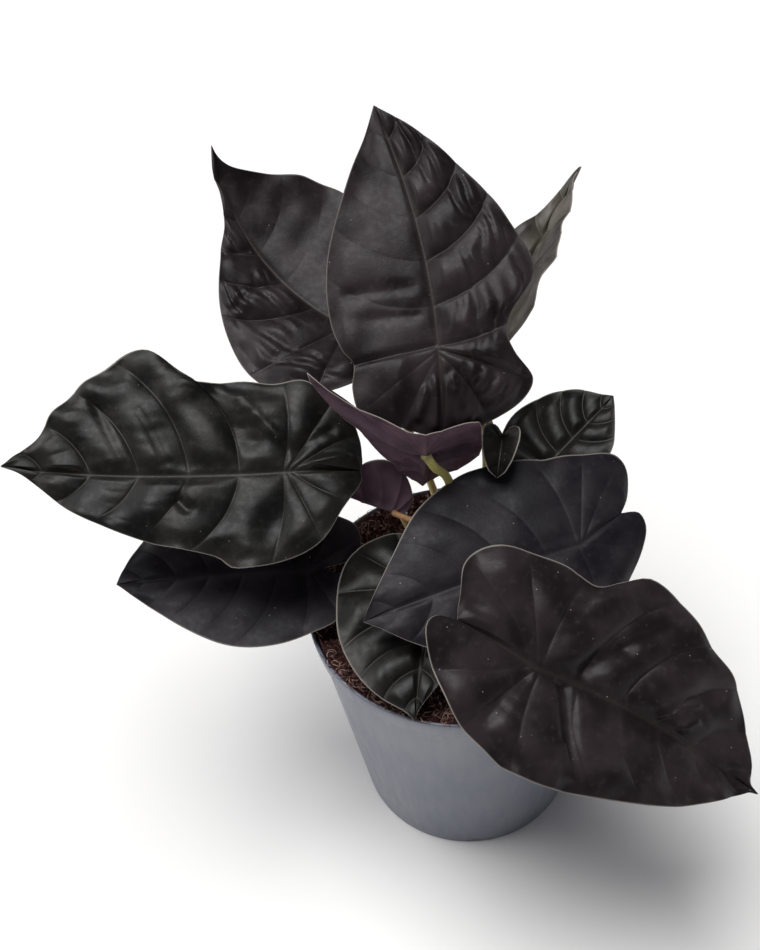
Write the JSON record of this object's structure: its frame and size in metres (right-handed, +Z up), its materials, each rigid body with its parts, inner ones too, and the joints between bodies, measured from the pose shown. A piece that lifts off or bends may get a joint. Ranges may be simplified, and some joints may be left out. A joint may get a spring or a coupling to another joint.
{
  "type": "potted plant",
  "caption": "Small potted aroid with broad, nearly black, quilted heart-shaped leaves on thin stalks, in a tapered grey nursery pot of fibrous soil.",
  "frame": {"origin": "centre of the pot's foot, on the surface that the pot stands on", "axes": "+Z up along the pot's axis; the front of the plant, as pictured, looks along -Y; +X to the right"},
  "size_m": [0.259, 0.2371, 0.25],
  "materials": {
    "pot": "satin",
    "soil": "matte",
    "stem": "matte",
    "stalk": "satin",
    "dark_leaf": "satin",
    "brown_leaf": "satin",
    "blue_leaf": "satin"
  },
  "bodies": {
    "root": {"pot": "pot", "soil": "soil", "stem_base": "stem", "stalk_top": "stalk", "blade_top": "brown_leaf", "stalk_back_left": "stalk", "blade_back_left": "brown_leaf", "stalk_back_right": "stalk", "blade_back_right": "dark_leaf", "stalk_left": "stalk", "blade_left": "dark_leaf", "stalk_low_left": "stalk", "blade_low_left": "blue_leaf", "stalk_right": "stalk", "blade_right": "blue_leaf", "stalk_front_right": "stalk", "blade_front_right": "brown_leaf", "stalk_small_right": "stalk", "blade_small_right": "dark_leaf", "stalk_front": "stalk", "blade_front": "dark_leaf", "stalk_small_left": "stalk", "blade_small_left": "brown_leaf", "stalk_hanging": "stalk", "blade_hanging": "brown_leaf", "stalk_cupped": "stalk", "blade_cupped": "dark_leaf"}
  },
  "joints": []
}
